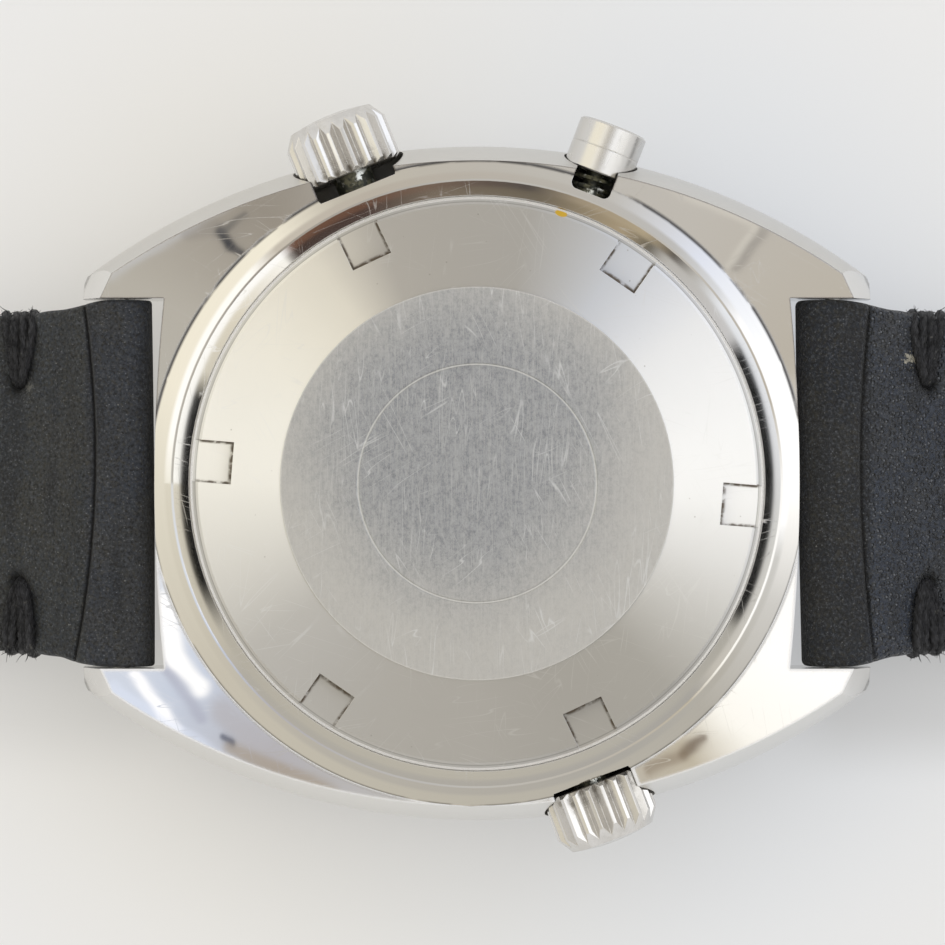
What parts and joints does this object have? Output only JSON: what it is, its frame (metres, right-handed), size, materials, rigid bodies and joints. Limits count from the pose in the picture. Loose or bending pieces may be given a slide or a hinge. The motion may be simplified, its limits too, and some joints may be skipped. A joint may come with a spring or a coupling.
{
  "type": "chronograph wristwatch",
  "caption": "Cushion-cased steel chronograph watch lying on its crystal, with two fluted crowns, a round pusher, a notched screw back and a leather strap with buckle.",
  "frame": {"origin": "centre of the crystal's outer flat face, on the watch's axis", "axes": "+Z out of the case back, +X towards 12 o'clock along the strap, +Y towards 3 o'clock"},
  "size_m": [0.2442, 0.0447, 0.0125],
  "materials": {
    "steel_satin": "satin",
    "steel_polished": "polished",
    "steel_plain": "plain",
    "gilt_brass": "gilt",
    "nickel_plate": "nickel plated",
    "blued_steel": "blued",
    "mineral_glass": "polished",
    "gasket_nylon": "matt",
    "gasket_rubber": "matt",
    "dial_paint": "matt paint",
    "hand_white": "white paint",
    "hand_orange": "orange paint",
    "bezel_paint": "painted",
    "strap_leather": "matt",
    "thread_waxed": "waxed"
  },
  "bodies": {
    "head": {"middle_case": "steel_satin", "bezel": "steel_satin", "crystal": "mineral_glass", "crystal_gasket": "gasket_nylon", "case_back": "steel_satin", "case_back_gasket": "gasket_rubber", "crown_tube": "steel_plain", "bezel_crown_tube": "steel_plain", "pusher_tube": "steel_plain", "spring_bar_12": "steel_plain", "spring_bar_6": "steel_plain", "movement_ring": "gilt_brass", "casing_screws": "steel_plain", "mainplate": "nickel_plate", "barrel_bridge": "nickel_plate", "train_bridge": "nickel_plate", "balance_cock": "nickel_plate", "bridge_screws": "blued_steel", "rotor_bearing": "steel_plain", "dial": "dial_paint", "hour_markers": "hand_white", "pallet_fork": "steel_plain"},
    "stem_slide": {"setting_lever": "steel_plain"},
    "crown": {"crown": "steel_polished", "crown_gasket": "gasket_rubber", "winding_stem": "steel_plain"},
    "winding_pinion": {"winding_pinion": "steel_plain"},
    "bezel_crown": {"bezel_crown": "steel_polished", "bezel_crown_stem": "steel_plain", "bezel_pinion": "gilt_brass"},
    "inner_bezel": {"inner_bezel": "bezel_paint"},
    "pusher": {"pusher_cap": "steel_polished", "pusher_stem": "steel_plain", "pusher_spring": "steel_plain"},
    "hour_hand": {"hour_hand": "hand_white", "hour_wheel": "gilt_brass"},
    "minute_hand": {"minute_hand": "hand_white", "cannon_pinion": "gilt_brass"},
    "minute_wheel": {"minute_wheel": "gilt_brass"},
    "seconds_hand": {"seconds_hand": "hand_orange", "seconds_arbor": "steel_plain"},
    "counter_hand": {"counter_hand": "hand_white"},
    "barrel": {"barrel": "gilt_brass"},
    "centre_wheel": {"centre_wheel": "gilt_brass"},
    "third_wheel": {"third_wheel": "gilt_brass"},
    "fourth_wheel": {"fourth_wheel": "gilt_brass"},
    "escape_wheel": {"escape_wheel": "steel_plain"},
    "balance": {"balance_wheel": "gilt_brass", "hairspring": "blued_steel"},
    "column_wheel": {"column_wheel": "blued_steel"},
    "rotor": {"rotor": "gilt_brass"},
    "strap_12": {"strap_12": "strap_leather", "stitches_12": "thread_waxed", "fixed_keeper": "strap_leather", "buckle_bar": "steel_plain"},
    "strap_6": {"strap_6": "strap_leather", "stitches_6": "thread_waxed"},
    "sliding_keeper": {"sliding_keeper": "strap_leather"},
    "buckle_frame": {"buckle_frame": "steel_polished"},
    "buckle_tongue": {"buckle_tongue": "steel_polished"}
  },
  "joints": [
    {"name": "crown_pull", "type": "slide", "parent": "head", "child": "stem_slide", "axis": [-0.3746, 0.9272, 0], "range_m": [0, 0.001]},
    {"name": "crown_turn", "type": "hinge", "parent": "stem_slide", "child": "crown", "pos_m": [-0.00674, 0.01669, 0.0079], "axis": [-0.3746, 0.9272, 0], "continuous": true},
    {"name": "winding_pinion_turn", "type": "hinge", "parent": "head", "child": "winding_pinion", "pos_m": [-0.0033, 0.00816, 0.0079], "axis": [-0.3746, 0.9272, 0], "continuous": true},
    {"name": "inner_bezel_turn", "type": "hinge", "parent": "head", "child": "inner_bezel", "pos_m": [0, 0, 0.004], "axis": [0, 0, 1], "continuous": true},
    {"name": "bezel_crown_turn", "type": "hinge", "parent": "head", "child": "bezel_crown", "pos_m": [0.00645, -0.0168, 0.0079], "axis": [0.3584, -0.9336, 0], "continuous": true},
    {"name": "pusher_press", "type": "slide", "parent": "head", "child": "pusher", "axis": [-0.36, -0.933, 0], "range_m": [0, 0.001], "stiffness_N_per_m": 600, "springref_m": -0.0005, "deforming": ["pusher_spring"]},
    {"name": "minute_hand_turn", "type": "hinge", "parent": "head", "child": "minute_hand", "pos_m": [0, 0, 0.007], "axis": [0, 0, 1], "continuous": true},
    {"name": "hour_hand_turn", "type": "hinge", "parent": "head", "child": "hour_hand", "pos_m": [0, 0, 0.007], "axis": [0, 0, 1], "continuous": true},
    {"name": "minute_wheel_turn", "type": "hinge", "parent": "head", "child": "minute_wheel", "pos_m": [-0.00297, -0.00208, 0.007], "axis": [0, 0, 1], "continuous": true},
    {"name": "seconds_hand_turn", "type": "hinge", "parent": "head", "child": "seconds_hand", "pos_m": [0, 0, 0.007], "axis": [0, 0, 1], "continuous": true},
    {"name": "counter_hand_turn", "type": "hinge", "parent": "head", "child": "counter_hand", "pos_m": [-0.0066, 0, 0.007], "axis": [0, 0, 1], "continuous": true},
    {"name": "fourth_wheel_turn", "type": "hinge", "parent": "head", "child": "fourth_wheel", "pos_m": [0.00682, -0.00289, 0.007], "axis": [0, 0, 1], "continuous": true},
    {"name": "third_wheel_turn", "type": "hinge", "parent": "head", "child": "third_wheel", "pos_m": [0.00257, -0.00444, 0.007], "axis": [0, 0, 1], "continuous": true},
    {"name": "centre_wheel_turn", "type": "hinge", "parent": "head", "child": "centre_wheel", "pos_m": [0, 0, 0.007], "axis": [0, 0, 1], "continuous": true},
    {"name": "barrel_turn", "type": "hinge", "parent": "head", "child": "barrel", "pos_m": [-0.00623, -0.0011, 0.007], "axis": [0, 0, 1], "continuous": true},
    {"name": "escape_wheel_turn", "type": "hinge", "parent": "head", "child": "escape_wheel", "pos_m": [0.00785, 0.00096, 0.007], "axis": [0, 0, 1], "continuous": true},
    {"name": "balance_swing", "type": "hinge", "parent": "head", "child": "balance", "pos_m": [0.0056, 0.0066, 0.007], "axis": [0, 0, 1], "range_deg": [-150, 150], "stiffness_Nm_per_rad": 0.000001},
    {"name": "column_wheel_turn", "type": "hinge", "parent": "head", "child": "column_wheel", "pos_m": [-0.0002, 0.0086, 0.007], "axis": [0, 0, 1], "continuous": true},
    {"name": "rotor_turn", "type": "hinge", "parent": "head", "child": "rotor", "pos_m": [0, 0, 0.007], "axis": [0, 0, 1], "continuous": true},
    {"name": "strap_12_swing", "type": "hinge", "parent": "head", "child": "strap_12", "pos_m": [0.0213, 0, 0.0079], "axis": [0, 1, 0], "range_deg": [-90, 20]},
    {"name": "strap_6_swing", "type": "hinge", "parent": "head", "child": "strap_6", "pos_m": [-0.0213, 0, 0.0079], "axis": [0, 1, 0], "range_deg": [-20, 90]},
    {"name": "keeper_slide", "type": "slide", "parent": "strap_12", "child": "sliding_keeper", "axis": [1, 0, 0], "range_m": [-0.006, 0.0045]},
    {"name": "buckle_swing", "type": "hinge", "parent": "strap_12", "child": "buckle_frame", "pos_m": [0.0983, 0, 0.0047], "axis": [0, 1, 0], "range_deg": [-100, 0]},
    {"name": "tongue_swing", "type": "hinge", "parent": "strap_12", "child": "buckle_tongue", "pos_m": [0.0983, 0, 0.0047], "axis": [0, 1, 0], "range_deg": [0, 60]}
  ],
  "couplings": [
    {"joint": "winding_pinion_turn", "follows": "crown_turn", "ratio": 1},
    {"joint": "bezel_crown_turn", "follows": "inner_bezel_turn", "ratio": 8},
    {"joint": "hour_hand_turn", "follows": "minute_hand_turn", "ratio": 0.083333},
    {"joint": "minute_wheel_turn", "follows": "minute_hand_turn", "ratio": -0.33333},
    {"joint": "third_wheel_turn", "follows": "fourth_wheel_turn", "ratio": -0.125},
    {"joint": "centre_wheel_turn", "follows": "fourth_wheel_turn", "ratio": 0.016667},
    {"joint": "barrel_turn", "follows": "fourth_wheel_turn", "ratio": -0.0020833},
    {"joint": "escape_wheel_turn", "follows": "fourth_wheel_turn", "ratio": -10}
  ]
}
